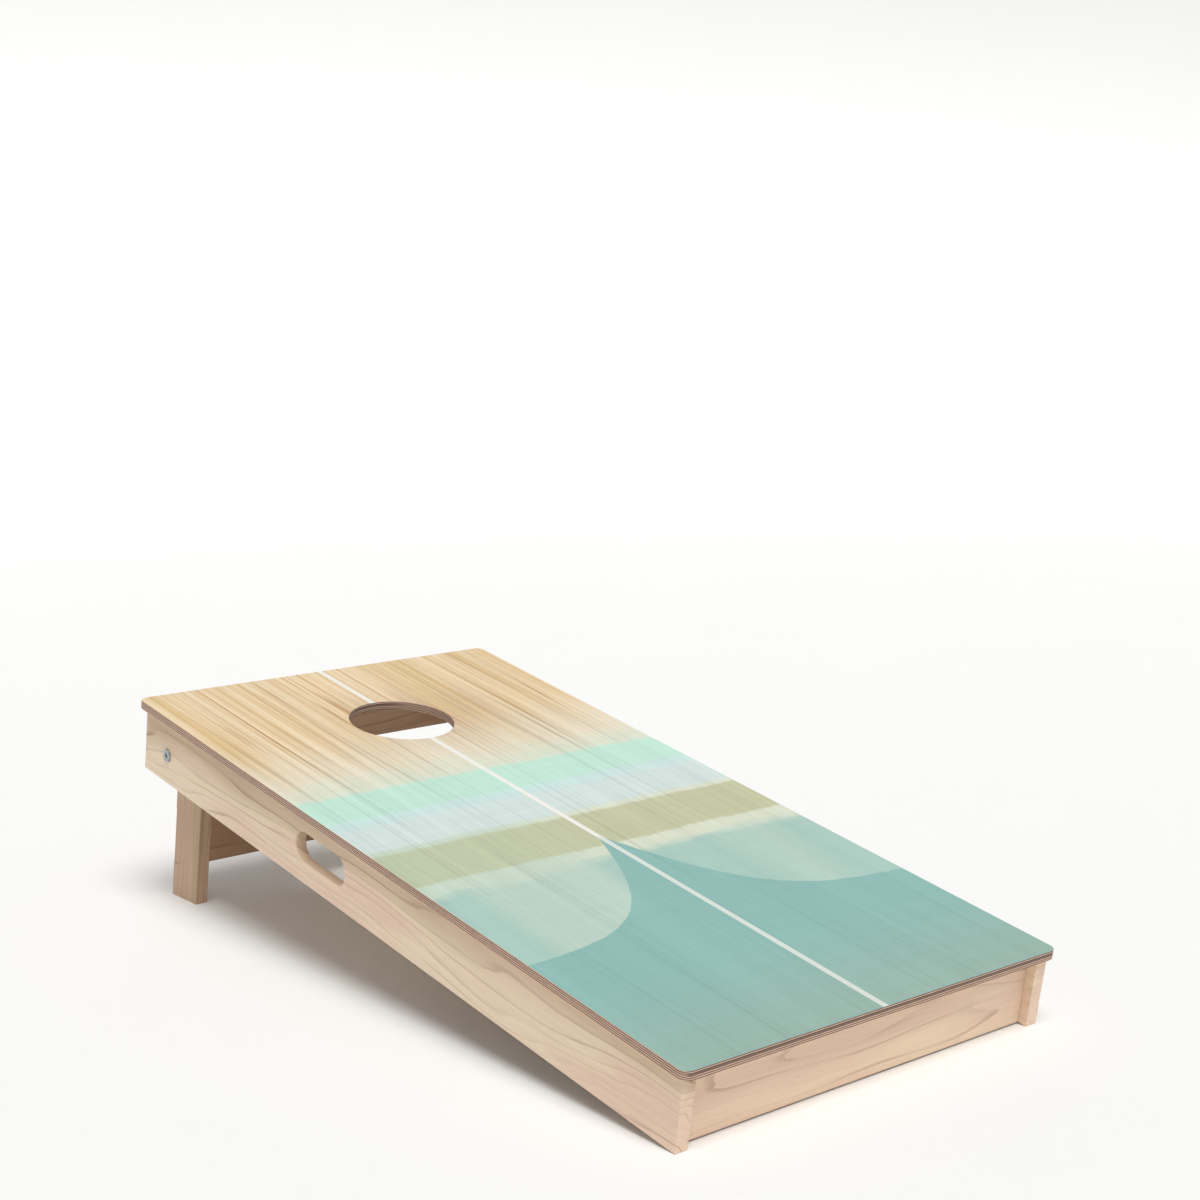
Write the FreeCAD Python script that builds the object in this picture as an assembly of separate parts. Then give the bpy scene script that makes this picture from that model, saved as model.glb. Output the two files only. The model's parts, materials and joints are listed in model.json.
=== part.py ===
import FreeCAD, Part
import math
import os

Vector = FreeCAD.Vector

# A cornhole board on a folding leg frame, in millimetres.
# The pieces are drawn in the deck's frame: x across, y from the deck's front edge to its rear edge,
# z square to the deck, with 0 at the playing face. stand() then tilts them onto the ground.
# Left is the side on the thrower's left, at -x.

# Driving dimensions
DECK_WIDTH = 600.0
DECK_LENGTH = 1200.0
DECK_THICK = 12.0
DECK_CORNER_R = 12.0
REAR_HEIGHT = 300.0          # ground to the playing face at the rear edge
HOLE_R = 76.0
HOLE_FROM_REAR = 225.0

STOCK = 18.0                 # thickness of every solid wood board
FRAME_DEPTH = 90.0
SIDE_OVERHANG = 7.5
FRONT_OVERHANG = 7.5
REAR_OVERHANG = 13.0
APRON_SETBACK = 13.5         # front apron behind the ends of the side rails
EDGE_R = 1.0                 # eased edges of all the wood

GRIP_LENGTH = 118.0          # hand slot in each side rail
GRIP_HEIGHT = 40.0
GRIP_Y = 717.0
GRIP_Z = -54.0
GRIP_MOUTH_R = 3.0

PIVOT_Y = 1122.0
PIVOT_Z = -60.0
LEG_WIDTH = 70.0
LEG_STOP_GAP = 0.5           # leg to the rear apron, which stops it
BRACE_DEPTH = 84.0
BRACE_BOTTOM_Z = -221.0
PULL_WIDTH = 20.0            # shallow finger pull in the rear edge of each leg
PULL_LENGTH = 85.0
PULL_TOP_Z = -160.0
PULL_DEPTH = 1.0
PULL_CORNER_R = 9.0

BOLT_R = 4.0
BOLT_HEAD_R = 9.5
BOLT_HEAD_THICK = 2.4
BOLT_HEAD_CHAMFER = 0.5
BOLT_END_CHAMFER = 0.8
RECESS_DEPTH = 1.6           # cross recess in the bolt's head
RECESS_WING = 1.1            # half the width of one wing of the cross
RECESS_SPAN = 4.2            # half the length of one wing of the cross
RUNNING_GAP = 0.06           # bolt to the leg's bore, radial
FIXED_GAP = 0.1              # bolt to the bores that do not turn, radial
SIDE_PLAY = 0.2              # leg to the washer on each side of it
FRICTION_WASHER_R = 12.0
FRICTION_WASHER_THICK = 1.0
NUT_WASHER_R = 8.0
NUT_WASHER_THICK = 1.6
NUT_ACROSS_FLATS = 13.0
NUT_HEX_THICK = 6.0
NUT_CHAMFER_SLOPE = 0.6      # rise of the nut's chamfer to its run
NUT_COLLAR_R = 5.6
NUT_COLLAR_THICK = 2.0
BOLT_PAST_NUT = 2.0
BLOCK_Z_TOP = -22.0
BLOCK_Z_BOTTOM = -98.0

DOWEL_R = 4.0
DOWEL_LENGTH = 40.0
DOWEL_CHAMFER = 0.8
DOWEL_IN_SIDE = 12.0         # how far a dowel runs into a rail or a leg
DOWEL_END_ROOM = 0.5         # room past each end of a dowel
FRAME_DOWEL_SHARES = (0.27, 0.73)    # heights of the dowels in the frame's corners
BRACE_DOWEL_SHARES = (0.25, 0.75)    # heights of the dowels in the brace's ends
FIT_GAP = 0.05               # wood to a dowel or a screw, all round

SCREW_R = 2.0
SCREW_HEAD_R = 4.0
SCREW_POINT = 5.0
SCREW_DRIVE = 2.6            # square drive
SCREW_DRIVE_DEPTH = 1.4
PAN_HEAD_THICK = 2.2
PAN_HEAD_CROWN = 0.8         # top of the pan head to its rim, in radius
POCKET_ANGLE = 15.0
POCKET_R = 4.75
POCKET_SEAT = 20.0           # screw seat to the top of the frame, along the screw
POCKET_BORE = 46.0
DECK_SCREW_BITE = 8.0
BLOCK_SCREW_LENGTH = 29.0
BLOCK_SCREW_INSET = 14.0     # screw to the edges of the pivot block
RAIL_SCREW_Y = (90.0, 270.0, 450.0, 620.0, 815.0, 1010.0)
APRON_SCREW_X = (-180.0, 0.0, 180.0)

# Places worked out from them
rail_outer = DECK_WIDTH / 2 - SIDE_OVERHANG
rail_inner = rail_outer - STOCK
rail_front = FRONT_OVERHANG
rail_rear = DECK_LENGTH - REAR_OVERHANG
frame_top = -DECK_THICK
frame_bottom = frame_top - FRAME_DEPTH
front_apron_y = rail_front + APRON_SETBACK
rear_apron_y = PIVOT_Y + LEG_WIDTH / 2 + LEG_STOP_GAP
hole_y = DECK_LENGTH - HOLE_FROM_REAR
block_inner = rail_inner - STOCK
leg_outer = block_inner - FRICTION_WASHER_THICK - SIDE_PLAY
leg_inner = leg_outer - STOCK
leg_front = PIVOT_Y - LEG_WIDTH / 2
leg_rear = PIVOT_Y + LEG_WIDTH / 2
nut_washer_outer = leg_inner - SIDE_PLAY
nut_outer = nut_washer_outer - NUT_WASHER_THICK
nut_end = nut_outer - NUT_HEX_THICK - NUT_COLLAR_THICK

# The tilt that lifts the rear edge to its height, with the eased lower front corner on the ground
reach = DECK_LENGTH - rail_front - EDGE_R
drop = -frame_bottom - EDGE_R
tilt = math.asin((REAR_HEIGHT - EDGE_R) / math.hypot(reach, drop)) - math.atan2(drop, reach)
ground = (rail_front + EDGE_R) * math.sin(tilt) - drop * math.cos(tilt) - EDGE_R
front_y = EDGE_R * (math.cos(tilt) + math.sin(tilt) - 1)


def ground_z(y):
    """The ground's z below a point of the deck's frame."""
    return (ground - y * math.sin(tilt)) / math.cos(tilt)


rear_y = leg_rear * math.cos(tilt) - ground_z(leg_rear) * math.sin(tilt)


def stand(shape):
    """Tilt a piece onto the ground and centre the board on the origin."""
    placed = shape.copy()
    placed.rotate(Vector(0, 0, 0), Vector(1, 0, 0), math.degrees(tilt))
    placed.translate(Vector(0, -(front_y + rear_y) / 2, -ground))
    return placed


def export(name, solids):
    """Write one node, from one solid or a list of separate ones."""
    if isinstance(solids, list):
        shape = Part.makeCompound([stand(solid) for solid in solids])
    else:
        shape = stand(solids)
    shape.exportStep("parts/" + name + ".step")


def other_side(shape):
    """The same piece on the right-hand side."""
    return shape.mirror(Vector(0, 0, 0), Vector(1, 0, 0))


def export_pair(name, shape):
    """Write a left-hand piece and its mirror image."""
    export("left_" + name, shape)
    export("right_" + name, other_side(shape))


def block(x_range, y_range, z_range):
    """A box from its three ranges."""
    low = Vector(x_range[0], y_range[0], z_range[0])
    return Part.makeBox(x_range[1] - x_range[0], y_range[1] - y_range[0], z_range[1] - z_range[0], low)


def eased(shape, radius=EDGE_R):
    """The shape with all of its edges rounded."""
    return shape.makeFillet(radius, shape.Edges)


def rod_x(radius, x0, x1, y, z):
    """A cylinder across the board."""
    return Part.makeCylinder(radius, abs(x1 - x0), Vector(min(x0, x1), y, z), Vector(1, 0, 0))


def turned(profile, base, direction):
    """Revolve a closed (radius, height) outline about an axis that starts at base."""
    points = [Vector(radius, 0, height) for radius, height in profile]
    face = Part.Face(Part.makePolygon(points + points[:1]))
    solid = face.revolve(Vector(0, 0, 0), Vector(0, 0, 1), 360)
    solid.Placement = FreeCAD.Placement(base, FreeCAD.Rotation(Vector(0, 0, 1), direction))
    return solid


def rounded_prism(x_range, y_range, z_range, radius):
    """A bar across the board whose four long edges are rounded by radius."""
    y0, y1 = y_range
    z0, z1 = z_range
    corners = (
        (y1 - radius, z0 + radius, -90),
        (y1 - radius, z1 - radius, 0),
        (y0 + radius, z1 - radius, 90),
        (y0 + radius, z0 + radius, 180),
    )
    edges = []
    first = None
    last = None
    for y, z, start in corners:
        turn = [math.radians(start + step) for step in (0, 45, 90)]
        arc = [Vector(x_range[0], y + radius * math.cos(a), z + radius * math.sin(a)) for a in turn]
        if first is None:
            first = arc[0]
        elif last.distanceToPoint(arc[0]) > 0.001:
            edges.append(Part.makeLine(last, arc[0]))
        edges.append(Part.Arc(arc[0], arc[1], arc[2]).toShape())
        last = arc[2]
    if last.distanceToPoint(first) > 0.001:
        edges.append(Part.makeLine(last, first))
    face = Part.Face(Part.Wire(edges))
    return face.extrude(Vector(x_range[1] - x_range[0], 0, 0))


def wood_screw(seat, direction, length, countersunk):
    """A screw whose head seat is at seat and whose point lies length beyond it."""
    if countersunk:
        sink = SCREW_HEAD_R - SCREW_R
        head_top = 0.0
        outline = [(0, 0), (SCREW_HEAD_R, 0), (SCREW_R, sink)]
    else:
        head_top = -PAN_HEAD_THICK
        outline = [(0, head_top), (SCREW_HEAD_R * PAN_HEAD_CROWN, head_top)]
        outline += [(SCREW_HEAD_R, head_top / 2), (SCREW_HEAD_R, 0), (SCREW_R, 0)]
    outline += [(SCREW_R, length - SCREW_POINT), (0, length)]
    half = SCREW_DRIVE / 2
    socket = Part.makeBox(SCREW_DRIVE, SCREW_DRIVE, SCREW_DRIVE_DEPTH, Vector(-half, -half, head_top))
    screw = turned(outline, Vector(0, 0, 0), Vector(0, 0, 1)).cut(socket)
    screw.Placement = FreeCAD.Placement(seat, FreeCAD.Rotation(Vector(0, 0, 1), direction))
    return screw


def screw_clearance(seat, direction, length, countersunk):
    """The room that a screw takes out of the wood."""
    radius = SCREW_R + FIT_GAP
    outline = [(0, 0), (radius, 0), (radius, length - SCREW_POINT + FIT_GAP), (0, length + FIT_GAP)]
    if countersunk:
        wide = SCREW_HEAD_R + FIT_GAP
        outline = [(0, -1), (wide, -1), (wide, 0), (radius, wide - radius)] + outline[2:]
    return turned(outline, seat, direction)


def pocket_screws():
    """Seat and direction of every screw that holds the frame to the deck from inside."""
    lean = math.radians(POCKET_ANGLE)
    tops = []
    for y in RAIL_SCREW_Y:
        tops.append((Vector(-rail_inner - STOCK / 2, y, frame_top), Vector(1, 0, 0)))
        tops.append((Vector(rail_inner + STOCK / 2, y, frame_top), Vector(-1, 0, 0)))
    for x in APRON_SCREW_X:
        tops.append((Vector(x, front_apron_y + STOCK / 2, frame_top), Vector(0, 1, 0)))
        tops.append((Vector(x, rear_apron_y + STOCK / 2, frame_top), Vector(0, -1, 0)))
    placed = []
    for top, inward in tops:
        direction = Vector(0, 0, 1) * math.cos(lean) - inward * math.sin(lean)
        placed.append((top - direction * POCKET_SEAT, direction))
    return placed


def with_pockets(shape):
    """Cut the pockets and pilot holes of the deck screws that this piece holds."""
    length = POCKET_SEAT + DECK_SCREW_BITE
    cutters = []
    for seat, direction in pocket_screws():
        bore = screw_clearance(seat, direction, length, False)
        pocket = Part.makeCylinder(POCKET_R, POCKET_BORE, seat, direction * -1)
        if shape.BoundBox.intersect(bore.BoundBox):
            cutters += [bore, pocket]
    return shape.cut(Part.makeCompound(cutters))


def deck_screws():
    """Pan-head pocket screws, from the frame up into the deck."""
    length = POCKET_SEAT + DECK_SCREW_BITE
    return [wood_screw(seat, direction, length, False) for seat, direction in pocket_screws()]


def block_screw_places():
    """Seat of each screw that holds the left pivot block to its rail."""
    low = Vector(-block_inner, leg_front + BLOCK_SCREW_INSET, BLOCK_Z_BOTTOM + BLOCK_SCREW_INSET)
    high = Vector(-block_inner, leg_rear - BLOCK_SCREW_INSET, BLOCK_Z_TOP - BLOCK_SCREW_INSET)
    return [low, high]


def with_block_screws(shape):
    """Cut the holes of the pivot block's screws."""
    for seat in block_screw_places():
        shape = shape.cut(screw_clearance(seat, Vector(-1, 0, 0), BLOCK_SCREW_LENGTH, True))
    return shape


def frame_dowel_places():
    """Centres of the four dowels in the left-hand corner joints."""
    x = -rail_inner - DOWEL_IN_SIDE + DOWEL_LENGTH / 2
    places = []
    for apron_y in (front_apron_y, rear_apron_y):
        for share in FRAME_DOWEL_SHARES:
            places.append(Vector(x, apron_y + STOCK / 2, frame_bottom + FRAME_DEPTH * share))
    return places


def brace_dowel_places():
    """Centres of the two dowels between the left leg and the brace."""
    x = -leg_inner - DOWEL_IN_SIDE + DOWEL_LENGTH / 2
    heights = [BRACE_BOTTOM_Z + BRACE_DEPTH * share for share in BRACE_DOWEL_SHARES]
    return [Vector(x, leg_front + STOCK / 2, z) for z in heights]


def dowel(centre):
    """A chamfered dowel across the board."""
    edge = DOWEL_R - DOWEL_CHAMFER
    end = DOWEL_LENGTH - DOWEL_CHAMFER
    outline = [(0, 0), (edge, 0), (DOWEL_R, DOWEL_CHAMFER), (DOWEL_R, end), (edge, DOWEL_LENGTH)]
    outline += [(0, DOWEL_LENGTH)]
    return turned(outline, centre - Vector(DOWEL_LENGTH / 2, 0, 0), Vector(1, 0, 0))


def with_dowel_holes(shape, places):
    """Drill both hands of a set of dowel holes."""
    half = DOWEL_LENGTH / 2 + DOWEL_END_ROOM
    for centre in places:
        hole = rod_x(DOWEL_R + FIT_GAP, centre.x - half, centre.x + half, centre.y, centre.z)
        shape = shape.cut(hole).cut(other_side(hole))
    return shape


def both_dowels(places):
    """The dowels at those places and their mirror images."""
    made = [dowel(centre) for centre in places]
    return made + [other_side(solid) for solid in made]


def deck():
    """Plywood playing surface with the bag hole."""
    half = DECK_WIDTH / 2
    panel = block((-half, half), (0, DECK_LENGTH), (-DECK_THICK, 0))
    corners = [edge for edge in panel.Edges if edge.BoundBox.ZLength > DECK_THICK / 2]
    panel = panel.makeFillet(DECK_CORNER_R, corners)
    panel = panel.cut(Part.makeCylinder(HOLE_R, 3 * DECK_THICK, Vector(0, hole_y, -2 * DECK_THICK)))
    rims = [edge for edge in panel.Edges if edge.BoundBox.ZLength < DECK_THICK / 2]
    return with_pockets(panel.makeFillet(EDGE_R, rims))


def side_rail():
    """Left-hand rail with its hand slot."""
    rail = eased(block((-rail_outer, -rail_inner), (rail_front, rail_rear), (frame_bottom, frame_top)))
    half = GRIP_LENGTH / 2
    slot = rounded_prism((-rail_outer - STOCK, -rail_inner + STOCK), (GRIP_Y - half, GRIP_Y + half),
                         (GRIP_Z - GRIP_HEIGHT / 2, GRIP_Z + GRIP_HEIGHT / 2), GRIP_HEIGHT / 2)
    rail = rail.cut(slot)
    mouths = []
    for edge in rail.Edges:
        size = edge.BoundBox
        inside = abs(size.Center.y - GRIP_Y) < half and abs(size.Center.z - GRIP_Z) < GRIP_HEIGHT
        if inside and size.XLength < EDGE_R and size.YLength < GRIP_LENGTH:
            mouths.append(edge)
    rail = rail.makeFillet(GRIP_MOUTH_R, mouths)
    rail = rail.cut(rod_x(BOLT_R + FIXED_GAP, -rail_outer - 1, -rail_inner + 1, PIVOT_Y, PIVOT_Z))
    rail = with_block_screws(with_pockets(rail))
    return with_dowel_holes(rail, frame_dowel_places())


def apron(y):
    """Front or rear board between the side rails."""
    board = eased(block((-rail_inner, rail_inner), (y, y + STOCK), (frame_bottom, frame_top)))
    return with_dowel_holes(with_pockets(board), frame_dowel_places())


def pivot_block():
    """Spacer that holds the left leg clear of its rail."""
    spacer = eased(block((-rail_inner, -block_inner), (leg_front, leg_rear),
                         (BLOCK_Z_BOTTOM, BLOCK_Z_TOP)))
    spacer = spacer.cut(rod_x(BOLT_R + FIXED_GAP, -rail_inner - 1, -block_inner + 1, PIVOT_Y, PIVOT_Z))
    return with_block_screws(spacer)


def block_screws():
    """Countersunk screws of both pivot blocks."""
    outward = Vector(-1, 0, 0)
    made = [wood_screw(seat, outward, BLOCK_SCREW_LENGTH, True) for seat in block_screw_places()]
    return made + [other_side(screw) for screw in made]


def leg():
    """Left leg: round at the pivot, cut flat where it stands."""
    radius = LEG_WIDTH / 2
    x = -leg_outer
    front_foot = Vector(x, leg_front, ground_z(leg_front))
    rear_foot = Vector(x, leg_rear, ground_z(leg_rear))
    front_shoulder = Vector(x, leg_front, PIVOT_Z)
    rear_shoulder = Vector(x, leg_rear, PIVOT_Z)
    crown = Part.Arc(rear_shoulder, Vector(x, PIVOT_Y, PIVOT_Z + radius), front_shoulder).toShape()
    outline = [Part.makeLine(front_foot, rear_foot), Part.makeLine(rear_foot, rear_shoulder), crown]
    outline.append(Part.makeLine(front_shoulder, front_foot))
    board = Part.Face(Part.Wire(outline)).extrude(Vector(STOCK, 0, 0))
    long_edges = []
    for edge in board.Edges:
        size = edge.BoundBox
        if size.XLength < EDGE_R and size.Center.z > ground_z(PIVOT_Y) + LEG_WIDTH / 2:
            long_edges.append(edge)
    board = board.makeFillet(EDGE_R, long_edges)
    pull = rounded_prism((-leg_outer - STOCK, -leg_outer + PULL_DEPTH),
                         (leg_rear - PULL_WIDTH, leg_rear + PULL_WIDTH),
                         (PULL_TOP_Z - PULL_LENGTH, PULL_TOP_Z), PULL_CORNER_R)
    board = board.cut(pull)
    board = board.cut(rod_x(BOLT_R + RUNNING_GAP, -leg_outer - 1, -leg_inner + 1, PIVOT_Y, PIVOT_Z))
    return with_dowel_holes(board, brace_dowel_places())


def leg_brace():
    """Board between the legs."""
    board = eased(block((-leg_inner, leg_inner), (leg_front, leg_front + STOCK),
                        (BRACE_BOTTOM_Z, BRACE_BOTTOM_Z + BRACE_DEPTH)))
    return with_dowel_holes(board, brace_dowel_places())


def pivot_bolt():
    """Left pivot bolt: thin disc head with a cross recess, plain shank."""
    length = rail_outer - nut_end + BOLT_PAST_NUT
    outline = [(0, -BOLT_HEAD_THICK), (BOLT_HEAD_R - BOLT_HEAD_CHAMFER, -BOLT_HEAD_THICK)]
    outline += [(BOLT_HEAD_R, -BOLT_HEAD_THICK + BOLT_HEAD_CHAMFER), (BOLT_HEAD_R, 0), (BOLT_R, 0)]
    outline += [(BOLT_R, length - BOLT_END_CHAMFER), (BOLT_R - BOLT_END_CHAMFER, length), (0, length)]
    bolt = turned(outline, Vector(-rail_outer, PIVOT_Y, PIVOT_Z), Vector(1, 0, 0))
    face = -rail_outer - BOLT_HEAD_THICK
    depth = (face, face + RECESS_DEPTH)
    bolt = bolt.cut(block(depth, (PIVOT_Y - RECESS_SPAN, PIVOT_Y + RECESS_SPAN),
                          (PIVOT_Z - RECESS_WING, PIVOT_Z + RECESS_WING)))
    return bolt.cut(block(depth, (PIVOT_Y - RECESS_WING, PIVOT_Y + RECESS_WING),
                          (PIVOT_Z - RECESS_SPAN, PIVOT_Z + RECESS_SPAN)))


def washer(x, thick, radius):
    """A washer on the left pivot bolt whose outer face is at x."""
    ring = rod_x(radius, x, x + thick, PIVOT_Y, PIVOT_Z)
    return ring.cut(rod_x(BOLT_R + FIXED_GAP, x - 1, x + thick + 1, PIVOT_Y, PIVOT_Z))


def lock_nut():
    """Left lock nut: chamfered hexagon with a round collar."""
    corner = NUT_ACROSS_FLATS / math.sqrt(3)
    axis_start = Vector(-nut_outer, PIVOT_Y, PIVOT_Z)
    turns = [math.radians(60 * index) for index in range(7)]
    points = [axis_start + Vector(0, corner * math.cos(turn), corner * math.sin(turn)) for turn in turns]
    prism = Part.Face(Part.makePolygon(points)).extrude(Vector(NUT_HEX_THICK, 0, 0))
    flat = NUT_ACROSS_FLATS / 2
    slope = (corner - flat) * NUT_CHAMFER_SLOPE
    outline = [(0, 0), (flat, 0), (corner, slope), (corner, NUT_HEX_THICK - slope), (flat, NUT_HEX_THICK)]
    outline += [(0, NUT_HEX_THICK)]
    hexagon = prism.common(turned(outline, axis_start, Vector(1, 0, 0)))
    collar = rod_x(NUT_COLLAR_R, -nut_outer, -nut_end, PIVOT_Y, PIVOT_Z)
    bore = rod_x(BOLT_R + FIXED_GAP, -nut_outer - 1, -nut_end + 1, PIVOT_Y, PIVOT_Z)
    return hexagon.fuse(collar).cut(bore)


def main():
    """Write every node."""
    os.makedirs("parts", exist_ok=True)
    export("deck", deck())
    export_pair("side_rail", side_rail())
    export("front_apron", apron(front_apron_y))
    export("rear_apron", apron(rear_apron_y))
    export("frame_dowels", both_dowels(frame_dowel_places()))
    export("deck_screws", deck_screws())
    export_pair("pivot_block", pivot_block())
    export("pivot_block_screws", block_screws())
    export_pair("pivot_bolt", pivot_bolt())
    export_pair("friction_washer", washer(-block_inner, FRICTION_WASHER_THICK, FRICTION_WASHER_R))
    export_pair("nut_washer", washer(-nut_washer_outer, NUT_WASHER_THICK, NUT_WASHER_R))
    export_pair("lock_nut", lock_nut())
    export_pair("leg", leg())
    export("leg_brace", leg_brace())
    export("brace_dowels", both_dowels(brace_dowel_places()))


main()
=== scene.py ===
import json
import math

import bmesh
import bpy
from mathutils import Matrix, Vector


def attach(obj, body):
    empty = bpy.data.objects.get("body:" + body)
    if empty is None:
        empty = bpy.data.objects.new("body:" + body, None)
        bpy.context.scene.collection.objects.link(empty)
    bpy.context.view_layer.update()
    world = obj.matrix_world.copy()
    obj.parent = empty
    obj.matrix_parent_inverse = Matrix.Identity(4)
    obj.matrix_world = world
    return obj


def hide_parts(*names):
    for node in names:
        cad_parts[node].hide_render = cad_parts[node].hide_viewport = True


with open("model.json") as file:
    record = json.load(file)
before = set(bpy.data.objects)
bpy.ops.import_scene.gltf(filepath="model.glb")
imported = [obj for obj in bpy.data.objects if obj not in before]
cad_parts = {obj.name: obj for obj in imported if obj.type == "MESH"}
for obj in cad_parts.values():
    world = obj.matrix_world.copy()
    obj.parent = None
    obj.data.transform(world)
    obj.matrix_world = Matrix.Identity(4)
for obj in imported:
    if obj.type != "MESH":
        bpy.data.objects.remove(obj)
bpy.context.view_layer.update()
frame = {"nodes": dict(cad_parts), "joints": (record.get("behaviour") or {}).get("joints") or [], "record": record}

bl_info = {
    "name": "Bag Toss Board",
    "version": (1, 0, 0),
    "blender": (4, 5, 0),
    "location": "View3D > Sidebar > Bag Toss Board",
    "description": "Builds the looks of a wooden bag toss board round its packed frame",
    "category": "Add Mesh",
}

MM = 0.001
TINY = 1e-6
SUN_DIRECTION = Vector((0.17, 0.40, -0.90))
SIDES = ("left", "right")
ACROSS, ALONG, THROUGH = range(3)   # the axes of the deck's frame

# Multiplied into the colour of some boards. The front apron and left rail tones are slight colour corrections. The
# rear apron, leg and brace tones are painted shade, darkening those boards for the shade under the deck.
FRONT_APRON_TONE = (1.0, 0.985, 0.985)
LEFT_RAIL_TONE = (0.985, 0.98, 0.99)
REAR_APRON_PAINTED_SHADE = (0.86, 0.79, 0.75)
LEG_PAINTED_SHADE = (0.67, 0.605, 0.55)
BRACE_PAINTED_SHADE = (0.48, 0.375, 0.32)

RECESS_TAPER = 0.82                 # floor of the cross recess to its rim
BOLT_END_TAPER = 0.85               # end of the bolt to the root of its thread
RIDGE_SUNK = 0.97                   # foot of the thread's ridge to the thread's root
TURN_STEPS = 28                     # steps in one turn of the thread

PLIES = 9
RING_PITCH = 0.0125                 # metres between two year rings of the poplar
DARK_PLIES = 3.1                    # middle of the dark plies at the deck's front and rear edges


# The deck's frame: x across, y from the front edge to the rear edge, z square to the deck with 0 at
# its face. The board stands tilted on the ground, so every piece is shaped level and then stood up.
def mount(name):
    """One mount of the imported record."""
    return next(m for m in frame["record"]["mounts"] if m["name"] == name)


def corners(points):
    """Lowest and highest corner of some points."""
    return [Vector([pick(p[axis] for p in points) for axis in range(3)]) for pick in (min, max)]


def deck_frame():
    """The matrix from the row's frame to the deck's frame."""
    normal = Vector(mount("playing_face")["axis"])
    level = Matrix.Rotation(-math.atan2(-normal.y, normal.z), 4, "X")
    low, high = corners([level @ v.co for v in frame["nodes"]["deck"].data.vertices])
    return Matrix.Translation((0, -low.y, -high.z)) @ level


LEVEL = deck_frame()
STAND = LEVEL.inverted()


def flat_box(node):
    """Lowest and highest corner of a CAD node in the deck's frame."""
    return corners([LEVEL @ v.co for v in frame["nodes"][node].data.vertices])


DECK_LOW, DECK_HIGH = flat_box("deck")
DECK_LENGTH = DECK_HIGH.y - DECK_LOW.y
DECK_THICK = DECK_HIGH.z - DECK_LOW.z
HOLE = LEVEL @ Vector(mount("bag_hole")["pos_m"])
HOLE_R = mount("bag_hole")["dims"]["r_mm"] * MM
PIVOT = LEVEL @ Vector(frame["joints"][0]["pos_m"])


def length(name, description, millimetres):
    """A length property, given in millimetres."""
    return bpy.props.FloatProperty(name=name, description=description, default=millimetres * MM,
                                   unit="LENGTH", precision=4)


def distance(name, description, metres):
    """A distance or a coordinate, given in metres."""
    return bpy.props.FloatProperty(name=name, description=description, default=metres, unit="LENGTH")


def angle(name, description, degrees):
    """An angle property, given in degrees."""
    return bpy.props.FloatProperty(name=name, description=description, default=math.radians(degrees),
                                   subtype="ANGLE")


def tint(name, description, red, green, blue):
    """A colour property, given as 0 to 255 display values."""
    return bpy.props.FloatVectorProperty(name=name, description=description, subtype="COLOR_GAMMA", size=3,
                                         min=0, max=1, default=(red / 255, green / 255, blue / 255))


def share(name, description, value):
    """A plain number property."""
    return bpy.props.FloatProperty(name=name, description=description, default=value, precision=3)


class BagBoardShape(bpy.types.PropertyGroup):
    """Sizes that the eye sees but that do not fit anything."""

    edge: length("Eased edge", "Radius on the edges of the boards", 1.0)
    corner: length("Deck corner", "Radius of the deck's corners, seen from above", 12.0)
    head_radius: length("Bolt head radius", "Radius of the pivot bolts' heads", 9.5)
    head_thick: length("Bolt head thickness", "Thickness of the pivot bolts' heads", 2.4)
    shank_radius: length("Bolt radius", "Radius of the pivot bolts' shanks", 4.0)
    recess_span: length("Recess span", "Half the length of one wing of the cross recess", 4.2)
    recess_wing: length("Recess wing", "Half the width of one wing of the cross recess", 1.1)
    recess_depth: length("Recess depth", "Depth of the cross recess", 1.6)
    thread_pitch: length("Thread pitch", "Distance between the bolts' threads", 1.25)
    thread_depth: length("Thread depth", "Crest of the thread to its root", 0.6)
    thread_length: length("Thread length", "Threaded end of the bolts", 16.0)
    ring_radius: length("Nut ring radius", "Outer radius of the nylon ring in each nut", 5.0)
    ring_depth: length("Nut ring depth", "How far the nylon ring runs into the nut", 1.5)
    ring_proud: length("Nut ring rise", "How far the nylon ring stands out of the nut", 0.3)


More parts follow.
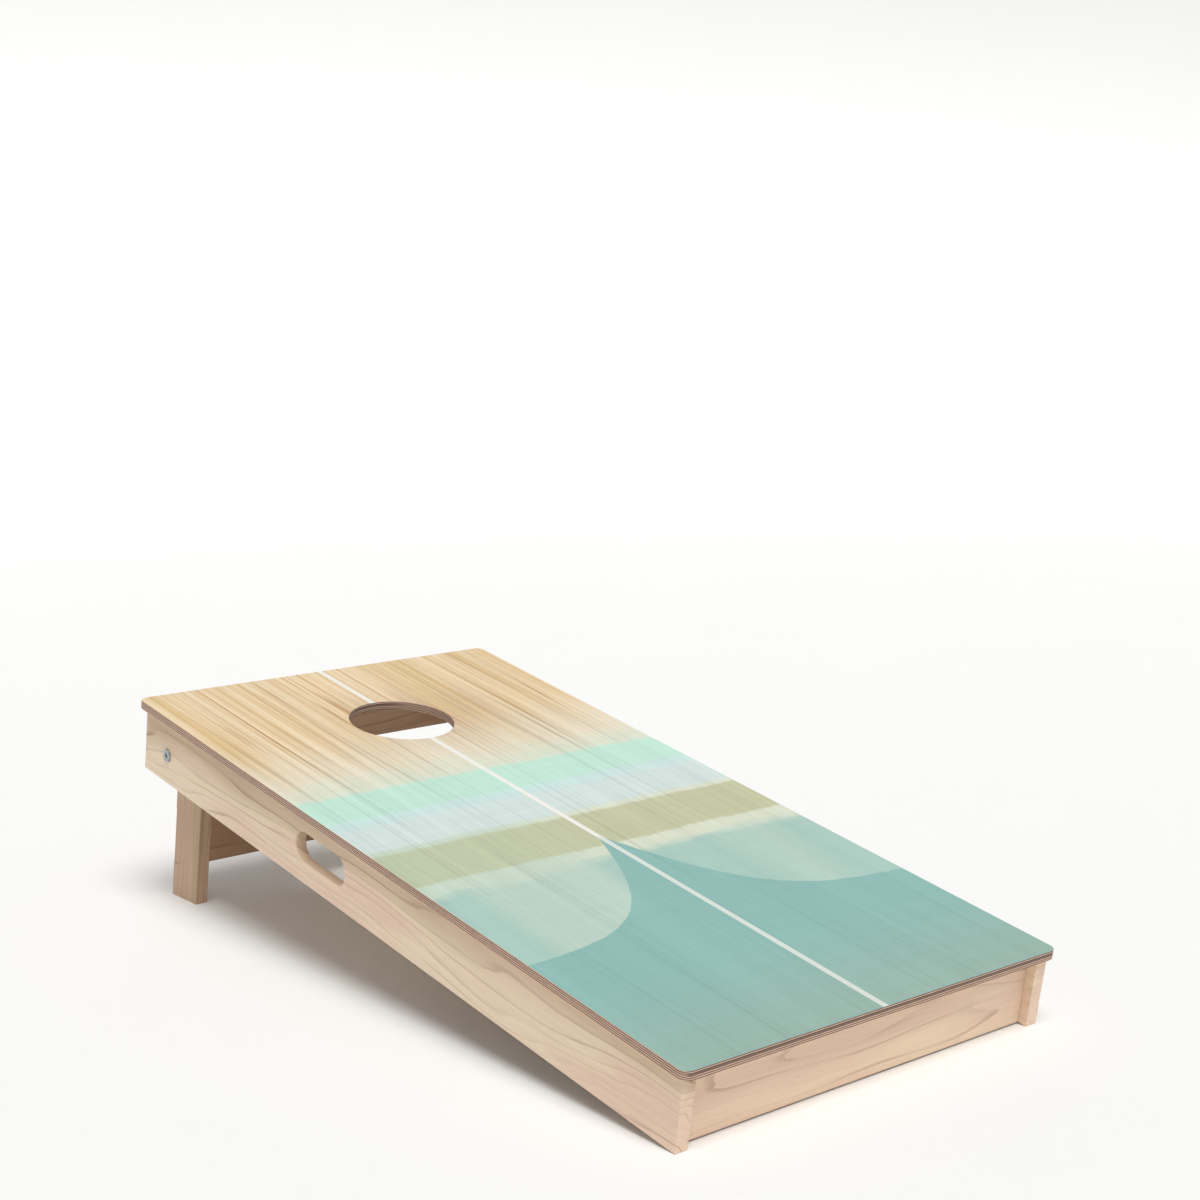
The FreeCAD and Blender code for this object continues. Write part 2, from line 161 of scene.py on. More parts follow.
class BagBoardPrint(bpy.types.PropertyGroup):
    """Colours and places of the printed face, measured from the deck's rear edge."""

    wood_pale: tint("Pale wood", "Lightest of the wood ground", 240, 219, 183)
    wood_mid: tint("Mid wood", "Middle of the wood ground", 229, 202, 160)
    wood_gold: tint("Golden wood", "Golden veneer", 217, 186, 130)
    wood_brown: tint("Brown wood", "Brownish shade in the middle of the ground", 196, 170, 142)
    wood_line: tint("Grain line", "Narrow lines of the wood ground", 182, 138, 84)
    bleached: tint("Bleached wood", "Wood ground next to the bands", 232, 224, 203)
    bleached_line: tint("Bleached line", "Narrow lines of the bleached wood", 176, 164, 140)
    mint: tint("Mint", "First band", 194, 231, 213)
    ice: tint("Ice", "Narrow band after the mint", 203, 228, 224)
    mist: tint("Mist", "Pale grey band", 211, 226, 221)
    cream: tint("Cream", "Thin lines either side of the olive band", 219, 224, 203)
    cream_left: tint("Cream, left", "Thin lines at their left ends", 200, 216, 198)
    olive: tint("Olive", "Khaki band", 197, 198, 162)
    olive_left: tint("Olive, left", "Khaki band at its left end", 190, 200, 169)
    sage: tint("Sage", "Field behind the wave", 186, 209, 195)
    sage_blue: tint("Sage, blue", "Bluer columns of the field", 170, 202, 191)
    teal: tint("Teal", "The wave", 140, 186, 179)
    teal_front: tint("Teal, front", "The wave at the deck's front edge", 151, 181, 169)
    stripe: tint("Stripe", "Centre stripe", 242, 240, 232)
    mint_from: length("Mint from", "Where the mint band starts", 430.0)
    ice_from: length("Ice from", "Where the ice band starts", 505.0)
    mist_from: length("Mist from", "Where the mist band starts", 527.0)
    first_cream_from: length("First cream from", "Where the first cream line starts", 600.0)
    olive_from: length("Olive from", "Where the olive band starts", 612.0)
    second_cream_from: length("Second cream from", "Where the second cream line starts", 707.0)
    sage_from: length("Sage from", "Where the sage field starts", 742.0)
    peak_from: length("Peak from", "Where the wave's peak is", 680.0)
    wave_from: length("Wave from", "Where the wave levels out", 938.0)
    wave_reach: length("Wave reach", "How far from the middle the wave's peak falls off", 77.0)
    stripe_width: length("Stripe width", "Width of the centre stripe", 8.4)


class BagBoardTimber(bpy.types.PropertyGroup):
    """Colours of the solid wood, the plywood edge and the metal."""

    light: tint("Light wood", "Cream parts of the poplar", 240, 219, 190)
    rosy: tint("Rosy wood", "Pinkish parts of the poplar", 236, 208, 184)
    heart: tint("Heartwood", "Brownish middle of the tree", 204, 178, 144)
    vein: tint("Vein", "Dark lines of the poplar", 160, 118, 86)
    ply_long: tint("Long ply", "Plies seen along their grain", 222, 191, 166)
    ply_end: tint("End ply", "Plies seen at their ends", 128, 98, 87)
    glue: tint("Glue line", "Lines between the plies", 80, 60, 56)
    zinc: tint("Zinc", "Plated steel", 172, 177, 180)
    nylon: tint("Nylon", "Washers and nut inserts", 226, 224, 214)


class BagBoardStage(bpy.types.PropertyGroup):
    """Camera, lights and floor."""

    camera_x: distance("Camera x", "Camera place across", -1.664)
    camera_y: distance("Camera y", "Camera place along", -2.144)
    camera_z: distance("Camera z", "Camera height", 0.935)
    heading: angle("Heading", "Camera turn from the y axis towards x", 40.66)
    dip: angle("Dip", "How far the camera looks down", 9.44)
    lens: share("Lens", "Focal length in millimetres", 63.5)
    shift: share("Shift", "Sideways shift of the camera's frame", -0.05)
    sky: share("Sky strength", "Strength of the even light", 0.32)
    sun: share("Main light", "Strength of the large soft light", 2.36)
    sun_spread: angle("Main light spread", "How wide the main light looks", 32)
    floor_radius: distance("Floor radius", "How far the floor reaches", 9.0)
    floor_sweep: distance("Floor sweep", "Radius of the floor's sweep up into its wall", 2.5)
    floor_wall: distance("Floor wall", "Height of the wall round the floor", 3.5)
    floor: tint("Floor", "Colour of the floor", 247, 247, 246)


def settings(name):
    """One of the add-on's property groups."""
    return getattr(bpy.context.scene, "bag_board_" + name)


def shown(colour):
    """A display colour as a scene linear one, opaque."""
    linear = [c / 12.92 if c <= 0.04045 else ((c + 0.055) / 1.055) ** 2.4 for c in colour]
    return (*linear, 1.0)


class Tree:
    """Adds nodes to a node tree. A socket given as an input is linked, and anything else is set."""

    def __init__(self, tree):
        self.tree = tree

    def add(self, kind, inputs=(), **chosen):
        node = self.tree.nodes.new(kind)
        for key, value in chosen.items():
            setattr(node, key, value)
        for key, value in dict(inputs).items():
            if isinstance(value, bpy.types.NodeSocket):
                self.tree.links.new(value, node.inputs[key])
            else:
                node.inputs[key].default_value = value
        return node

    def math(self, operation, *values):
        return self.add("ShaderNodeMath", enumerate(values), operation=operation).outputs[0]

    def plus(self, a, b):
        return self.math("ADD", a, b)

    def minus(self, a, b):
        return self.math("SUBTRACT", a, b)

    def times(self, a, b):
        return self.math("MULTIPLY", a, b)

    def vector(self, x, y, z):
        return self.add("ShaderNodeCombineXYZ", {0: x, 1: y, 2: z}).outputs[0]

    def parts(self, vector):
        return self.add("ShaderNodeSeparateXYZ", {0: vector}).outputs[:]

    def scaled(self, vector, x, y, z):
        return self.add("ShaderNodeVectorMath", {0: vector, 1: (x, y, z)}, operation="MULTIPLY").outputs[0]

    def noise(self, vector, detail=2.0):
        """A smooth noise from 0 to 1, about 0.5."""
        inputs = {"Vector": vector, "Scale": 1.0, "Detail": detail, "Roughness": 0.5}
        return self.add("ShaderNodeTexNoise", inputs).outputs[0]

    def swing(self, vector, amount, detail=2.0):
        """A smooth noise about 0, of about that amount each way."""
        return self.times(self.minus(self.noise(vector, detail), 0.5), 2 * amount)

    def chance(self, value):
        """A random number from 0 to 1 for each value."""
        return self.add("ShaderNodeTexWhiteNoise", {"W": value}, noise_dimensions="1D").outputs[0]

    def stretched(self, across, along, narrow, slow, seed):
        """A vector that stretches a noise: how many times a metre it changes across and along."""
        return self.vector(self.times(across, narrow), self.times(along, slow), seed)

    def streaks(self, across, along, narrow, slow, seed, detail=2.0):
        """A noise from 0 to 1, stretched into streaks."""
        return self.noise(self.stretched(across, along, narrow, slow, seed), detail)

    def sway(self, across, along, narrow, slow, seed, amount, detail=2.0):
        """A stretched noise about 0, of about that amount each way."""
        return self.swing(self.stretched(across, along, narrow, slow, seed), amount, detail)

    def off_middle(self, value, amount):
        """How far a noise is from its middle, times an amount."""
        return self.times(self.minus(value, 0.5), amount)

    def shaded(self, colour, shade):
        """A colour times a plain number."""
        return self.mix(1.0, colour, self.vector(shade, shade, shade), "MULTIPLY")

    def step(self, value, low, high, first=0.0, last=1.0):
        """A soft step of value between low and high."""
        inputs = {0: value, 1: low, 2: high, 3: first, 4: last}
        return self.add("ShaderNodeMapRange", inputs, interpolation_type="SMOOTHSTEP").outputs[0]

    def mix(self, factor, a, b, blend="MIX"):
        node = self.add("ShaderNodeMix", {0: factor, 6: a, 7: b}, data_type="RGBA", blend_type=blend)
        return node.outputs[2]

    def bump(self, height, strength, distance):
        inputs = {"Height": height, "Strength": strength, "Distance": distance}
        return self.add("ShaderNodeBump", inputs).outputs[0]


def new_material(name):
    """An empty node material, its tree helper and its shader."""
    material = bpy.data.materials.new(name)
    material.use_nodes = True
    material.node_tree.nodes.clear()
    tree = Tree(material.node_tree)
    shader = tree.add("ShaderNodeBsdfPrincipled")
    tree.add("ShaderNodeOutputMaterial", {"Surface": shader.outputs[0]})
    return material, tree, shader


def connect(tree, shader, **inputs):
    """Link or set the shader's inputs. Underscores stand for spaces."""
    for key, value in inputs.items():
        socket = shader.inputs[key.replace("_", " ")]
        if isinstance(value, bpy.types.NodeSocket):
            tree.tree.links.new(value, socket)
        else:
            socket.default_value = value


def deck_place(tree):
    """The shaded point in the deck's frame."""
    turn = LEVEL.to_euler()
    inputs = {"Vector": tree.add("ShaderNodeTexCoord").outputs["Object"], "Location": LEVEL.translation,
              "Rotation": turn}
    return tree.add("ShaderNodeMapping", inputs).outputs[0]


def grain_lines(t, across, y, pitch, run, width, seed):
    """Long thin lines along the deck, where a stretched noise crosses its middle."""
    field = t.streaks(across, y, 1 / pitch, 1 / run, seed, 1.0)
    line = t.step(t.math("ABSOLUTE", t.minus(field, 0.5)), width, 0.0)
    strength = t.streaks(across, y, 3 / pitch, 2.5, seed + 0.5, 1.0)
    return t.times(line, t.step(strength, 0.34, 0.66))


def deck_grain(t, x, y):
    """The streaks, lines and pores of the deck's face, each from 0 to 1, by name."""
    across = t.plus(x, t.sway(x, y, 5.0, 1.3, 0.3, 0.005))
    return {
        "across": across,
        "broad": t.streaks(across, y, 26.0, 0.7, 1.0),
        "middle": t.streaks(across, y, 105.0, 1.0, 2.0),
        "narrow": t.streaks(across, y, 210.0, 1.2, 2.5),
        "fine": t.streaks(across, y, 420.0, 3.0, 3.0, 3.0),
        "hair": t.streaks(across, y, 1500.0, 22.0, 4.0),
        "mottle": t.streaks(x, y, 700.0, 500.0, 4.5),
        "coarse_lines": grain_lines(t, across, y, 0.016, 1.6, 0.034, 21.0),
        "fine_lines": grain_lines(t, across, y, 0.0055, 0.9, 0.060, 22.0),
        "thin_lines": grain_lines(t, across, y, 0.0100, 2.4, 0.028, 24.0),
        "pale_lines": grain_lines(t, across, y, 0.021, 1.9, 0.020, 23.0),
    }


def deck_ground(t, look, x, y, back, grain):
    """The streaked wood ground, which bleaches towards the bands."""
    # Leaves of veneer differ in tone at straight seams.
    leaf_width = 0.036
    leaf = t.math("FLOOR", t.times(t.plus(x, t.sway(x, y, 6.0, 0.0, 0.7, 0.05)), 1 / leaf_width))
    leaf_tone = t.chance(leaf)
    across, narrow = grain["across"], grain["narrow"]

    mid = t.step(t.plus(t.times(grain["middle"], 0.6), t.times(narrow, 0.4)), 0.40, 0.60)
    ground = t.mix(mid, shown(look.wood_pale), shown(look.wood_mid))
    golden = t.step(t.plus(t.times(grain["broad"], 0.80), t.times(leaf_tone, 0.20)), 0.47, 0.70)
    ground = t.mix(t.times(golden, t.step(narrow, 0.36, 0.60, 0.35, 1.0)), ground, shown(look.wood_gold))

    # A brownish patch lies round the hole.
    near_middle = t.step(t.math("ABSOLUTE", t.plus(x, -0.03)), 0.20, 0.05)
    near_hole = t.times(near_middle, t.times(t.step(back, 0.06, 0.22), t.step(back, 0.42, 0.28)))
    brownish = t.times(near_hole, t.step(t.streaks(across, y, 48.0, 1.2, 5.5), 0.40, 0.62))
    ground = t.mix(t.times(brownish, 0.8), ground, shown(look.wood_brown))

    lines = t.plus(t.times(grain["fine_lines"], 0.40), t.times(grain["thin_lines"], 0.50))
    lines = t.math("MINIMUM", t.plus(t.times(grain["coarse_lines"], 0.70), lines), 0.9)
    ground = t.mix(lines, ground, shown(look.wood_line))
    bleached = t.mix(t.times(lines, 0.85), shown(look.bleached), shown(look.bleached_line))
    fade = t.step(t.plus(back, t.sway(across, y, 30.0, 2.0, 5.0, 0.05)), 0.20, 0.41)
    ground = t.mix(t.times(fade, 0.88), ground, bleached)
    return t.mix(t.times(grain["pale_lines"], 0.5), ground, shown(look.wood_pale))


def deck_bands(t, look, x, y, back, across, ground):
    """The soft bands over the ground. Returns the colour, and where the paint is."""
    slow = t.plus(t.sway(x, y, 4.0, 0.0, 6.0, 0.008), t.sway(x, y, 14.0, 0.0, 6.5, 0.002))
    rag = t.sway(across, y, 70.0, 14.0, 7.0, 0.5, 3.0)
    blot = t.sway(x, y, 13.0, 34.0, 7.5, 0.5, 3.0)
    wash_edge = t.plus(back, t.plus(t.times(rag, 0.06), t.times(blot, 0.05)))
    wash = t.step(wash_edge, look.mint_from - 0.075, look.mint_from + 0.01, 0.0, 0.42)
    olive = t.mix(t.step(x, 0.14, -0.26), shown(look.olive), shown(look.olive_left))
    cream = t.mix(t.step(x, 0.03, -0.12), shown(look.cream), shown(look.cream_left))
    blue = t.step(t.streaks(x, y, 6.5, 0.8, 8.5, 1.0), 0.40, 0.58)
    sage = t.mix(blue, shown(look.sage), shown(look.sage_blue))
    # Where each band starts, how soft and ragged its edge is, its brush blots and its colour.
    bands = (
        (look.mint_from, 0.0060, 0.012, 0.006, shown(look.mint)),
        (look.ice_from, 0.0080, 0.008, 0.006, shown(look.ice)),
        (look.mist_from, 0.0070, 0.006, 0.006, shown(look.mist)),
        (look.first_cream_from, 0.0060, 0.010, 0.008, cream),
        (look.olive_from, 0.0045, 0.008, 0.006, olive),
        (look.second_cream_from, 0.0040, 0.008, 0.012, cream),
        (look.sage_from, 0.0150, 0.012, 0.050, sage),
    )
    colour = t.mix(wash, ground, shown(look.mint))
    masks = []
    for start, softness, raggedness, blots, tinge in bands:
        edge = t.plus(t.plus(back, slow), t.plus(t.times(rag, raggedness), t.times(blot, blots)))
        masks.append(t.step(edge, start - softness, start + softness))
        colour = t.mix(masks[-1], colour, tinge)
    return colour, masks[0]


def deck_wave(t, look, x, y, back):
    """Where the wave is: a peak on the centre line that falls away on both sides and levels out."""
    fall = t.math("POWER", t.times(t.math("ABSOLUTE", x), 1 / look.wave_reach), 1.12)
    peak = t.math("EXPONENT", t.times(fall, -1.0))
    lean = t.times(x, 0.016)
    crest = t.plus(t.minus(look.wave_from, t.times(peak, look.wave_from - look.peak_from)), lean)
    crest = t.plus(crest, t.sway(x, y, 38.0, 38.0, 8.0, 0.0022))
    return t.step(t.minus(back, crest), -0.0007, 0.0009)


def printed_face():
    """The deck's top: a streaked wood ground, soft painted bands, a wave and a centre stripe."""
    look = settings("print")
    material, t, shader = new_material("printed_face")
    x, y, z = t.parts(deck_place(t))[:3]
    back = t.minus(DECK_LENGTH, y)
    grain = deck_grain(t, x, y)
    fine, hair, mottle = grain["fine"], grain["hair"], grain["mottle"]

    ground = deck_ground(t, look, x, y, back, grain)
    colour, paint = deck_bands(t, look, x, y, back, grain["across"], ground)
    wave = deck_wave(t, look, x, y, back)
    front = t.step(back, 0.99, DECK_LENGTH + 0.01)
    colour = t.mix(wave, colour, t.mix(front, shown(look.teal), shown(look.teal_front)))

    # Brush marks across the bands, and the grain that shows through the paint.
    brush = t.streaks(x, y, 5.0, 60.0, 9.0, 3.0)
    column = t.streaks(grain["across"], y, 22.0, 1.6, 10.0)
    shade = t.plus(t.step(brush, 0.3, 0.7, 0.985, 1.010), t.step(column, 0.3, 0.7, -0.030, 0.030))
    shown_grain = t.plus(t.times(grain["coarse_lines"], -0.15),
                         t.times(t.plus(grain["fine_lines"], grain["thin_lines"]), -0.07))
    shown_grain = t.plus(shown_grain, t.off_middle(grain["middle"], -0.10))
    faint = t.step(back, look.sage_from - 0.05, look.sage_from + 0.06, 1.0, 0.45)
    shade = t.plus(shade, t.times(shown_grain, t.times(paint, faint)))
    shade = t.plus(shade, t.off_middle(hair, t.plus(-0.20, t.times(paint, 0.08))))
    shade = t.plus(shade, t.off_middle(fine, t.plus(-0.22, t.times(paint, 0.08))))
    shade = t.plus(shade, t.off_middle(mottle, -0.07))
    colour = t.shaded(colour, shade)

    # The centre stripe is thin white ink.
    half, blur = look.stripe_width / 2, 0.0002
    on_stripe = t.step(t.math("ABSOLUTE", x), half + blur, half - blur)
    cover = t.plus(0.93, t.times(wave, -0.26))
    colour = t.mix(t.times(on_stripe, cover), colour, shown(look.stripe))

    roughness = t.plus(t.step(fine, 0.3, 0.7, 0.42, 0.52), t.off_middle(hair, 0.08))
    height = t.plus(t.times(fine, 0.4), t.plus(t.times(hair, 0.4), t.times(mottle, 0.2)))
    connect(t, shader, Base_Color=colour, Roughness=roughness, Normal=t.bump(height, 0.12, 0.0004),
            Coat_Weight=0.1, Coat_Roughness=0.3, Specular_IOR_Level=0.3)
    return material


def ply_edge():
    """The cut edge of the plywood: nine plies of alternate grain with dark glue lines."""
    look = settings("timber")
    material, t, shader = new_material("ply_edge")
    x, y, z = t.parts(deck_place(t))[:3]
    wobble = t.swing(t.vector(t.times(x, 9.0), t.times(y, 9.0), 0.0), 0.16)
    layer = t.plus(t.times(z, -PLIES / DECK_THICK), wobble)
    inside = t.math("FRACT", layer)
    odd = t.math("FLOOR", t.math("FLOORED_MODULO", layer, 2.0))
    line = t.step(t.math("ABSOLUTE", t.minus(inside, 0.5)), 0.36, 0.47)
    normal = t.parts(t.add("ShaderNodeNewGeometry").outputs["Normal"])
    facing_side = t.step(t.math("ABSOLUTE", normal[0]), 0.3, 0.9)
    end_grain = t.math("ABSOLUTE", t.minus(odd, t.minus(1.0, facing_side)))
    streak = t.noise(t.vector(t.times(x, 60.0), t.times(y, 60.0), t.times(z, 1500.0)), 3.0)
    speck = t.noise(t.vector(t.times(x, 900.0), t.times(y, 900.0), t.times(z, 900.0)), 2.0)
    patch = t.noise(t.vector(t.times(x, 7.0), t.times(y, 7.0), t.math("FLOOR", layer)), 1.0)
    colour = t.mix(end_grain, shown(look.ply_long), shown(look.ply_end))
    shade = t.plus(t.step(streak, 0.3, 0.7, 1.12, 0.84),
                   t.plus(t.off_middle(speck, 0.22), t.off_middle(patch, 0.45)))
    shade = t.plus(shade, t.step(layer, 0.0, PLIES, -0.04, 0.08))
    colour = t.shaded(colour, shade)
    near_dark = t.step(t.math("ABSOLUTE", t.minus(layer, DARK_PLIES)), 1.7, 0.7)
    dark = t.math("MAXIMUM", t.times(near_dark, t.minus(0.75, facing_side)),
                  t.times(line, t.step(patch, 0.25, 0.6, 0.35, 0.8)))
    colour = t.mix(dark, colour, shown(look.glue))
    height = t.plus(t.times(t.minus(1.0, line), 0.6), t.times(streak, 0.4))
    connect(t, shader, Base_Color=colour, Roughness=t.step(speck, 0.3, 0.7, 0.55, 0.75),
            Normal=t.bump(height, 0.35, 0.0004), Specular_IOR_Level=0.3)
    return material


def timber_figure():
    """Node group: heartwood, rings, veins and fibres of a poplar board. Its vector runs along the
    grain in x, across the face in y and through the board in z, from the middle of the tree."""
    look = settings("timber")
    group = bpy.data.node_groups.new("timber_figure", "ShaderNodeTree")
    group.interface.new_socket(name="Vector", in_out="INPUT", socket_type="NodeSocketVector")
    group.interface.new_socket(name="Heart rings", in_out="INPUT", socket_type="NodeSocketFloat")
    group.interface.new_socket(name="Colour", in_out="OUTPUT", socket_type="NodeSocketColor")
    group.interface.new_socket(name="Roughness", in_out="OUTPUT", socket_type="NodeSocketFloat")
    group.interface.new_socket(name="Height", in_out="OUTPUT", socket_type="NodeSocketFloat")
    t = Tree(group)
    place, heart_rings = t.add("NodeGroupInput").outputs[:2]
    u, v, w = t.parts(place)[:3]

    # Rings lie round the tree's middle, which wanders along the board, and bulge into loops.
    drift = t.swing(t.vector(t.times(u, 2.2), 0.0, 11.0), 0.020)
    radius = t.math("SQRT", t.plus(t.math("POWER", t.plus(v, drift), 2.0), t.math("POWER", w, 2.0)))
    loops = t.noise(t.scaled(place, 2.6, 17.0, 17.0), 1.0)
    ripple = t.noise(t.scaled(place, 7.0, 60.0, 60.0), 2.0)
    rings = t.plus(t.times(t.plus(radius, t.times(u, 0.02)), 1 / RING_PITCH), t.times(loops, 5.5))
    rings = t.plus(rings, t.times(ripple, 0.40))
    luck = t.chance(t.math("FLOOR", rings))
    phase = t.math("FRACT", rings)
    vein = t.times(t.step(phase, 0.74, 0.93), t.step(phase, 0.995, 0.955))
    strength = t.step(t.noise(t.scaled(place, 7.0, 22.0, 22.0), 1.0), 0.34, 0.62, 0.2, 1.0)
    vein = t.times(vein, t.times(t.step(luck, 0.2, 1.0, 0.10, 1.0), strength))
    late = t.times(t.step(phase, 0.0, 1.0), t.step(phase, 1.0, 0.97))
    heartwood = t.step(t.plus(rings, t.swing(t.scaled(place, 5.0, 30.0, 30.0), 0.8)),
                       t.plus(heart_rings, 0.5), t.plus(heart_rings, -1.2))

    fibre = t.noise(t.scaled(place, 9.0, 380.0, 380.0), 3.0)
    hair = t.noise(t.scaled(place, 60.0, 1500.0, 1500.0), 2.0)
    patch = t.noise(t.scaled(place, 2.6, 17.0, 17.0), 2.0)
    colour = t.mix(t.step(patch, 0.42, 0.58), shown(look.light), shown(look.rosy))
    colour = t.mix(t.times(heartwood, t.step(patch, 0.3, 0.6, 0.45, 0.9)), colour, shown(look.heart))
    colour = t.mix(t.times(vein, 0.60), colour, shown(look.vein))
    shade = t.plus(t.step(fibre, 0.3, 0.7, 1.022, 0.968), t.times(late, -0.045))
    colour = t.shaded(colour, t.plus(shade, t.off_middle(hair, -0.12)))
    fleck = t.step(t.noise(t.scaled(place, 70.0, 800.0, 800.0), 1.0), 0.70, 0.78)
    colour = t.mix(t.times(fleck, 0.25), colour, shown(look.vein))
    roughness = t.plus(t.step(fibre, 0.3, 0.7, 0.48, 0.58), t.times(vein, -0.05))
    height = t.minus(t.plus(t.times(fibre, 0.5), t.times(hair, 0.4)),
                     t.plus(t.times(vein, 0.3), t.times(fleck, 0.5)))
    t.add("NodeGroupOutput", {0: colour, 1: roughness, 2: height})
    return group


def timber(name, along, through, heart, heart_rings=-9.0, tone=None, sense=1.0):
    """Poplar for one board. along and through are the deck-frame axes of its grain and its thickness,
    heart moves the board away from the tree's middle, heart_rings is how many rings are brown
    heartwood, tone darkens the board, which for the rear apron, the legs and the brace is painted
    shade, and sense is which way along the tree the board lies."""
    material, t, shader = new_material(name)
    axes = t.parts(deck_place(t))
    across = ACROSS + ALONG + THROUGH - along - through
    place = t.vector(t.plus(t.times(axes[along], sense), heart[0]), t.plus(axes[across], heart[1]),
                     t.plus(axes[through], heart[2]))
    figure = t.add("ShaderNodeGroup", node_tree=bpy.data.node_groups["timber_figure"])
    t.tree.links.new(place, figure.inputs[0])
    figure.inputs[1].default_value = heart_rings
    colour = figure.outputs[0]
    if tone:
        colour = t.mix(1.0, colour, (*tone, 1.0), "MULTIPLY")
    connect(t, shader, Base_Color=colour, Roughness=figure.outputs[1],
            Normal=t.bump(figure.outputs[2], 0.18, 0.0005), Coat_Weight=0.06, Coat_Roughness=0.35,
            Specular_IOR_Level=0.3)
    return material


def plated_steel():
    """Bright zinc plate with a faint turned finish, spots of haze and handling scratches."""
    look = settings("timber")
    material, t, shader = new_material("bright_zinc")
    place = t.add("ShaderNodeTexCoord").outputs["Object"]
    cloud = t.noise(t.scaled(place, 160.0, 160.0, 160.0), 3.0)
    scratch = t.noise(t.scaled(place, 400.0, 4200.0, 500.0), 2.0)
    colour = t.mix(t.step(cloud, 0.35, 0.65, 0.0, 0.5), shown(look.zinc), shown([c * 0.8 for c in look.zinc]))
    roughness = t.plus(t.step(cloud, 0.3, 0.7, 0.22, 0.36), t.off_middle(scratch, 0.2))
    connect(t, shader, Base_Color=colour, Metallic=1.0, Roughness=roughness,
            Normal=t.bump(scratch, 0.08, 0.0001))
    return material


def natural_nylon():
    """Off-white nylon with a fine moulded grain."""
    look = settings("timber")
    material, t, shader = new_material("moulded_nylon")
    place = t.add("ShaderNodeTexCoord").outputs["Object"]
    grain = t.noise(t.scaled(place, 900.0, 900.0, 900.0), 2.0)
    colour = t.mix(t.step(grain, 0.3, 0.7, 0.0, 0.3), shown(look.nylon), shown([c * 0.9 for c in look.nylon]))
    connect(t, shader, Base_Color=colour, Roughness=t.step(grain, 0.3, 0.7, 0.42, 0.55),
            Normal=t.bump(grain, 0.15, 0.0001), Subsurface_Weight=0.1, Subsurface_Scale=0.002)
    return material


def stage_floor():
    """Matt pale floor with a faint mottle."""
    look = settings("stage")
    material, t, shader = new_material("stage_floor")
    place = t.add("ShaderNodeTexCoord").outputs["Object"]
    mottle = t.noise(t.scaled(place, 3.0, 3.0, 3.0), 3.0)
    tone = shown(look.floor)
    darker = [c * 0.985 for c in tone[:3]] + [1.0]
    connect(t, shader, Base_Color=t.mix(mottle, tone, darker), Roughness=0.9, Specular_IOR_Level=0.1)
    return material


def easing(bm, edges, radius):
    """Round some edges and smooth-shade the rounding."""
    made = bmesh.ops.bevel(bm, geom=edges, offset=radius, offset_type="OFFSET", segments=3, profile=0.5,
                           affect="EDGES", clamp_overlap=True, loop_slide=True, material=-1)
    for face in made["faces"]:
        face.smooth = True


def sharp_edges(bm, least=60.0):
    """Edges whose faces meet at more than so many degrees."""
    return [e for e in bm.edges if e.is_manifold and e.calc_face_angle() > math.radians(least)]


def rectangle(bm, low, high):
    """One flat face from (x, y) to (x, y)."""
    spots = ((low[0], low[1]), (high[0], low[1]), (high[0], high[1]), (low[0], high[1]))
    return bm.faces.new([bm.verts.new((*spot, 0.0)) for spot in spots])


def round_corners(bm, verts, radius, segments):
    """Round corners of a flat outline."""
    bmesh.ops.bevel(bm, geom=verts, offset=radius, offset_type="OFFSET", segments=segments, profile=0.5,
                    affect="VERTICES", clamp_overlap=False, material=-1)


def cut_out(bm, cutter):
    """Take the outline of a second flat bmesh out of the first one's outline, and fill what is left."""
    mesh = bpy.data.meshes.new("cut_out")
    bmesh.ops.delete(cutter, geom=cutter.faces[:], context="FACES_ONLY")
    cutter.to_mesh(mesh)
    cutter.free()
    bmesh.ops.delete(bm, geom=bm.faces[:], context="FACES_ONLY")
    bm.from_mesh(mesh)
    bpy.data.meshes.remove(mesh)
    bmesh.ops.triangle_fill(bm, use_beauty=True, use_dissolve=False, edges=bm.edges[:], normal=(0, 0, 1))


def thicken(bm, faces, depth):
    """Extrude flat faces along z into a closed plate."""
    made = bmesh.ops.extrude_face_region(bm, geom=faces, use_keep_orig=True)
    moved = [part for part in made["geom"] if isinstance(part, bmesh.types.BMVert)]
    bmesh.ops.translate(bm, verts=moved, vec=(0, 0, depth))
    bmesh.ops.recalc_face_normals(bm, faces=bm.faces[:])


def finish_piece(name, bm, materials, body, nodes):
    """Stand a piece that was shaped in the deck's frame on the ground, and hang it on its body."""
    bmesh.ops.transform(bm, matrix=STAND, verts=bm.verts[:])
    bmesh.ops.recalc_face_normals(bm, faces=bm.faces[:])
    mesh = bpy.data.meshes.new(name)
    bm.to_mesh(mesh)
    bm.free()
    piece = bpy.data.objects.new(name, mesh)
    bpy.context.scene.collection.objects.link(piece)
    for material in materials:
        mesh.materials.append(material)
    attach(piece, body)
    if nodes:
        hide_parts(*nodes)
    return piece


def dress(node, material):
    """Give a CAD node a better material."""
    frame["nodes"][node].material_slots[0].material = material


